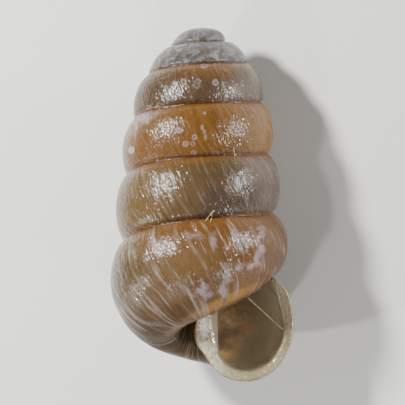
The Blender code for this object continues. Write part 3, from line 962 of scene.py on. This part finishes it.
# A hair across the mouth and two specks of fibre, each lying from point to point of the frame.
strands = {
    "stray_hair": {
        "path": ((246.5, 296.0), (258.0, 306.5), (270.0, 317.5), (283.5, 329.5)),
        "width": (0.6, 0.45), "overMouth": True,
    },
    "fibre_stem": {
        "path": ((214.5, 210.0), (212.0, 212.5), (208.5, 216.5), (205.0, 221.5)),
        "width": (1.5, 0.9), "overMouth": False,
    },
    "fibre_fork": {
        "path": ((211.5, 213.0), (211.6, 216.0), (211.0, 219.0), (210.0, 222.5)),
        "width": (1.3, 0.8), "overMouth": False,
    },
    "fibre_speck": {
        "path": ((233.2, 150.0), (233.4, 152.0), (234.0, 154.5), (234.6, 157.0)),
        "width": (1.4, 1.0), "overMouth": False,
    },
}
strandLook = {"dark": (112, 92, 52), "light": (176, 160, 122), "sides": 6, "steps": 24, "lift": 0.6}
skinFacets = [polygon.vertices[:] for polygon in shellMesh.polygons]
skinTree = BVHTree.FromPolygons([vert.co for vert in shellMesh.vertices], skinFacets)


def seenPoint(x, y):
    # the skin's point under a place of the frame
    start = framePoint(x, y) + back * 5 * mm
    hit = skinTree.ray_cast(start, -back)[0]
    return hit + back * strandLook["lift"] * view["pixel"] * mm


def strandPath(spec):
    pins = [Vector(pin) for pin in spec["path"]]
    steps = strandLook["steps"]
    places = [curveAt(pins, i / steps) for i in range(steps + 1)]
    if not spec["overMouth"]:
        return [seenPoint(p.x, p.y) for p in places]
    # stretched over the open mouth from edge to edge
    first, last = seenPoint(*pins[0]), seenPoint(*pins[-1])
    path = []
    for i, p in enumerate(places):
        at = framePoint(p.x, p.y)
        depth = back.dot(first.lerp(last, i / steps))
        path.append(at + back * (depth - back.dot(at)))
    return path


def strandMaterial():
    material = bpy.data.materials.new("strand")
    material.use_nodes = True
    tree = material.node_tree
    surface = tree.nodes["Principled BSDF"]
    place = put(tree, "ShaderNodeTexCoord").outputs["Object"]
    patchy = speckle(tree, place, 30000.0, 2.0)
    colour = ramp(tree, patchy, [(0.35, tone(*strandLook["dark"])), (0.6, tone(*strandLook["light"]))])
    tree.links.new(colour, surface.inputs["Base Color"])
    tree.links.new(between(tree, patchy, 0.3, 0.7, 0.25, 0.5), surface.inputs["Roughness"])
    return material


def addStrand(name, spec, material):
    path = strandPath(spec)
    bm = bmesh.new()
    sides = strandLook["sides"]
    sheet = gridOf(bm, strandLook["steps"], sides)
    first, last = spec["width"]
    for i, rows in enumerate(sheet):
        along = (path[min(i + 1, len(path) - 1)] - path[max(i - 1, 0)]).normalized()
        side = along.cross(back).normalized()
        share = i / strandLook["steps"]
        blunt = 1 - max(2 * share - 1, 1 - 2 * share) ** 12  # round ends
        radius = (first + (last - first) * share) / 2 * view["pixel"] * mm * blunt
        for row, vert in enumerate(rows):
            angle = 2 * math.pi * row / sides
            vert.co = path[i] + (side * math.cos(angle) + side.cross(along) * math.sin(angle)) * radius
    bmesh.ops.remove_doubles(bm, verts=bm.verts, dist=1e-8)
    bmesh.ops.recalc_face_normals(bm, faces=bm.faces)
    for face in bm.faces:
        face.smooth = True
    mesh = bpy.data.meshes.new(name)
    bm.to_mesh(mesh)
    bm.free()
    mesh.materials.append(material)
    strand = bpy.data.objects.new(name, mesh)
    bpy.context.scene.collection.objects.link(strand)
    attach(strand, "root")


fibre = strandMaterial()
for name, spec in strands.items():
    addStrand(name, spec, fibre)
print("strands done")


studio = {
    "floor": (214, 213, 209),
    "lamps": (
        # heading in the photograph's frame (right, up, toward the camera), width in mm, power
        ((-0.72, 0.44, 0.54), 2.5, 0.0062),
        ((0.84, 0.28, 0.47), 2.3, 0.0030),
        ((0.62, -0.58, 0.50), 1.3, 0.0010),
        ((-0.85, -0.50, 0.14), 0.9, 0.0016),
        ((-0.22, -0.82, 0.44), 1.2, 0.0010),
    ),
    "lampDistance": 16.0,
    "sky": 0.14,
    "skyTint": (0.95, 0.97, 1.0, 1.0),
}


def addFloor():
    bm = bmesh.new()
    bmesh.ops.create_grid(bm, x_segments=8, y_segments=8, size=0.25)
    mesh = bpy.data.meshes.new("floor")
    bm.to_mesh(mesh)
    bm.free()
    floor = bpy.data.objects.new("floor", mesh)
    bpy.context.scene.collection.objects.link(floor)
    material = bpy.data.materials.new("floor_paper")
    material.use_nodes = True
    surface = material.node_tree.nodes["Principled BSDF"]
    surface.inputs["Base Color"].default_value = tone(*studio["floor"])
    surface.inputs["Roughness"].default_value = 0.8
    mesh.materials.append(material)


def addLamps():
    middle = framePoint(202, 200)
    for number, (heading, size, power) in enumerate(studio["lamps"]):
        data = bpy.data.lights.new("softbox_%d" % number, "AREA")
        data.shape = "DISK"
        data.size = size * mm
        data.energy = power
        lamp = bpy.data.objects.new(data.name, data)
        way = (viewTurn() @ Vector(heading)).normalized()
        lamp.location = middle + way * studio["lampDistance"] * mm
        lamp.rotation_euler = way.to_track_quat("Z", "Y").to_euler()
        bpy.context.scene.collection.objects.link(lamp)
        print("lamp", number, "stands", round(way.z, 2), "up")
    world = bpy.data.worlds.new("studio")
    bpy.context.scene.world = world
    world.use_nodes = True
    world.node_tree.nodes["Background"].inputs[0].default_value = studio["skyTint"]
    world.node_tree.nodes["Background"].inputs[1].default_value = studio["sky"]


addFloor()
addLamps()
print("studio done")
